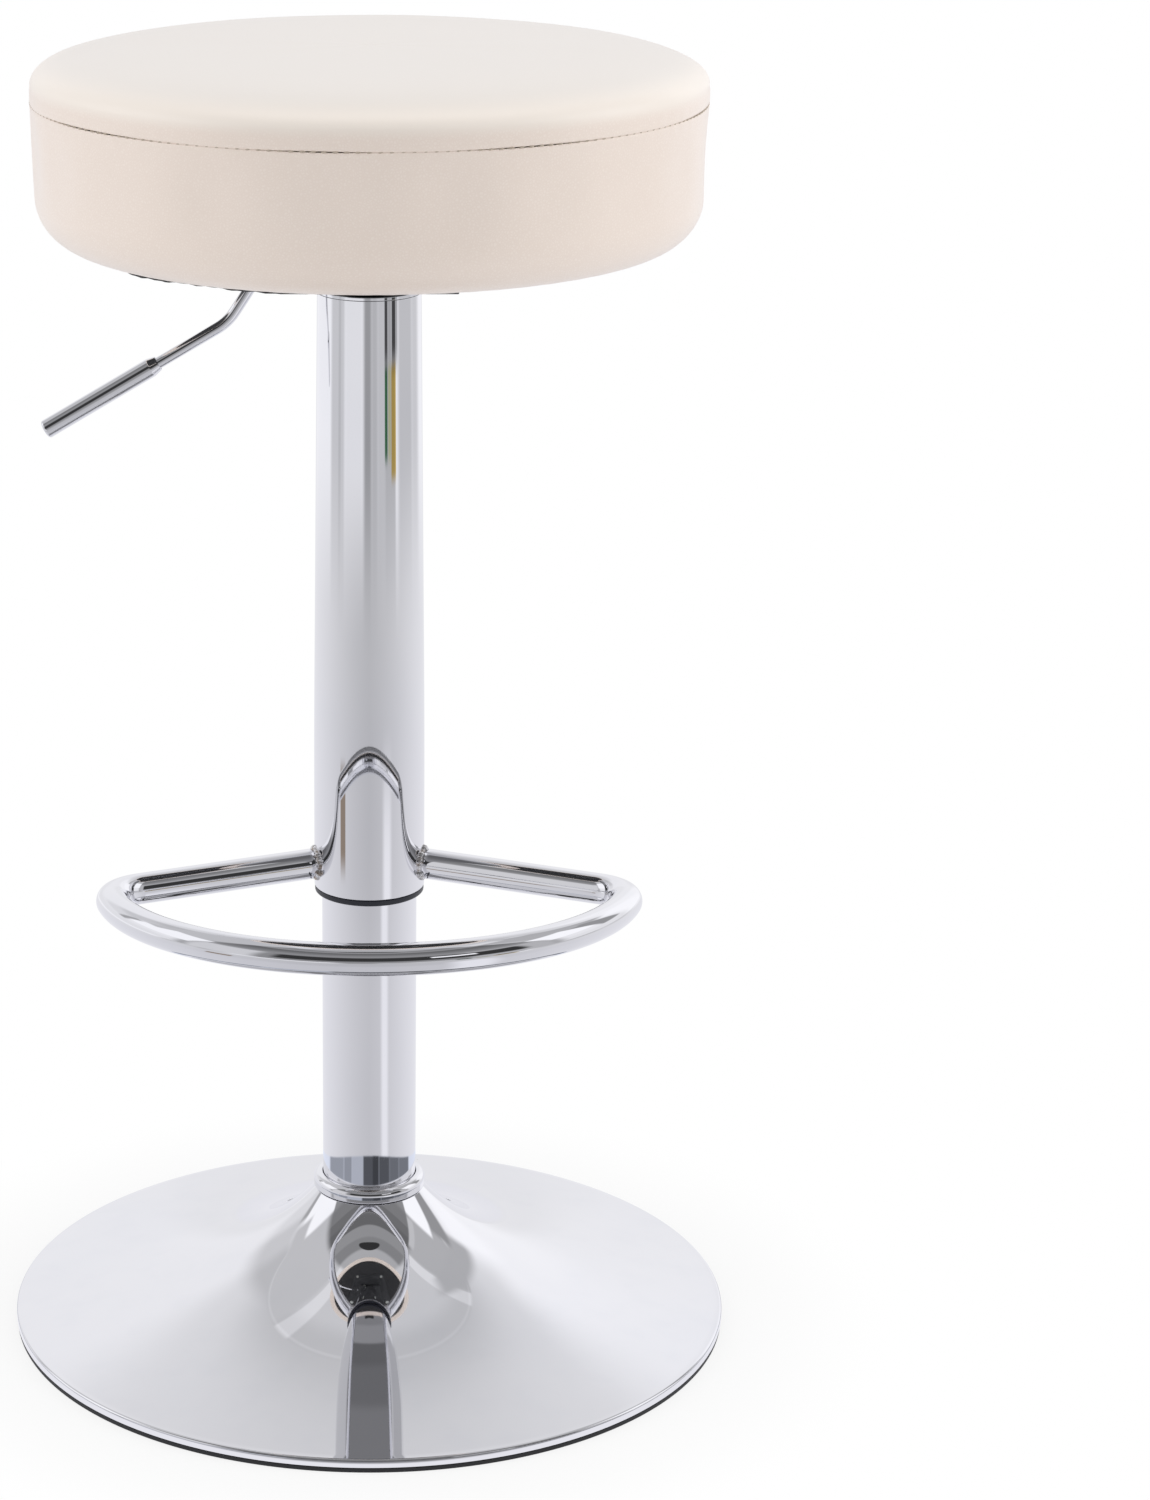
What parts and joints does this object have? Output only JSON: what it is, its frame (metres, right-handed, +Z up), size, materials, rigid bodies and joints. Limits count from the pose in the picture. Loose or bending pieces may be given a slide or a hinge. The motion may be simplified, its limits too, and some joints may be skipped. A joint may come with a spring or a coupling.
{
  "type": "diner counter stool",
  "caption": "Height-adjustable counter stool: round padded seat on a chromed telescoping gas-lift column with D-shaped footrest, release lever and trumpet base.",
  "frame": {"origin": "on the floor, on the column's axis, at the pictured seat height", "axes": "+Z up the column, -Y towards the sitter's feet (the footrest's side), -X towards the release lever"},
  "size_m": [0.385, 0.3885, 0.6874],
  "materials": {
    "chrome": "polished",
    "bare_steel": "satin",
    "zinc_fastener": "satin",
    "cast_weight": "matte",
    "black_enamel": "satin",
    "black_rubber": "matte",
    "black_plastic": "satin",
    "cream_leather": "satin",
    "foam": "matte",
    "plywood": "matte",
    "black_cloth": "matte"
  },
  "bodies": {
    "base": {"base_shell": "chrome", "base_weight": "cast_weight", "base_foot_ring": "black_rubber", "base_socket": "bare_steel", "socket_screw_1": "zinc_fastener", "socket_screw_2": "zinc_fastener", "socket_screw_3": "zinc_fastener", "socket_screw_4": "zinc_fastener", "collar": "chrome", "lower_tube": "chrome", "bearing_washer_lower": "bare_steel", "bearing_cage": "bare_steel", "cylinder_guide": "black_plastic"},
    "piston_rod": {"piston_rod": "chrome", "piston": "bare_steel", "rod_clip": "bare_steel", "bearing_washer_upper": "bare_steel", "rod_buffer": "black_rubber"},
    "seat": {"gas_cylinder": "black_enamel", "rod_guide": "black_plastic", "upper_tube": "chrome", "tube_bush": "black_plastic", "tube_cap": "bare_steel", "footrest": "chrome", "lift_hub": "bare_steel", "seat_bracket": "black_enamel", "seat_plate": "black_enamel", "seat_bolt_1": "zinc_fastener", "seat_bolt_2": "zinc_fastener", "seat_bolt_3": "zinc_fastener", "seat_bolt_4": "zinc_fastener", "bolt_washer_1": "zinc_fastener", "bolt_washer_2": "zinc_fastener", "bolt_washer_3": "zinc_fastener", "bolt_washer_4": "zinc_fastener", "board_nut_1": "zinc_fastener", "board_nut_2": "zinc_fastener", "board_nut_3": "zinc_fastener", "board_nut_4": "zinc_fastener", "dust_cover": "black_cloth", "pivot_pin": "zinc_fastener", "pivot_clip": "zinc_fastener", "seat_board": "plywood", "seat_foam": "foam", "seat_cover_band": "cream_leather", "seat_cover_top": "cream_leather"},
    "lever": {"release_lever": "chrome", "lever_grip": "chrome"},
    "valve": {"valve_pin": "bare_steel"}
  },
  "joints": [
    {"name": "swivel", "type": "hinge", "parent": "base", "child": "piston_rod", "pos_m": [0, 0, 0], "axis": [0, 0, 1], "continuous": true},
    {"name": "lift", "type": "slide", "parent": "piston_rod", "child": "seat", "axis": [0, 0, 1], "range_m": [-0.15, 0.06]},
    {"name": "lever_pull", "type": "hinge", "parent": "seat", "child": "lever", "pos_m": [-0.02, 0, 0.578], "axis": [0, 1, 0], "range_deg": [0, 8.5], "stiffness_Nm_per_rad": 0.6},
    {"name": "valve_press", "type": "slide", "parent": "seat", "child": "valve", "axis": [0, 0, -1], "range_m": [0, 0.0032]}
  ],
  "couplings": [
    {"joint": "valve_press", "follows": "lever_pull", "m_per_rad": 0.02}
  ]
}
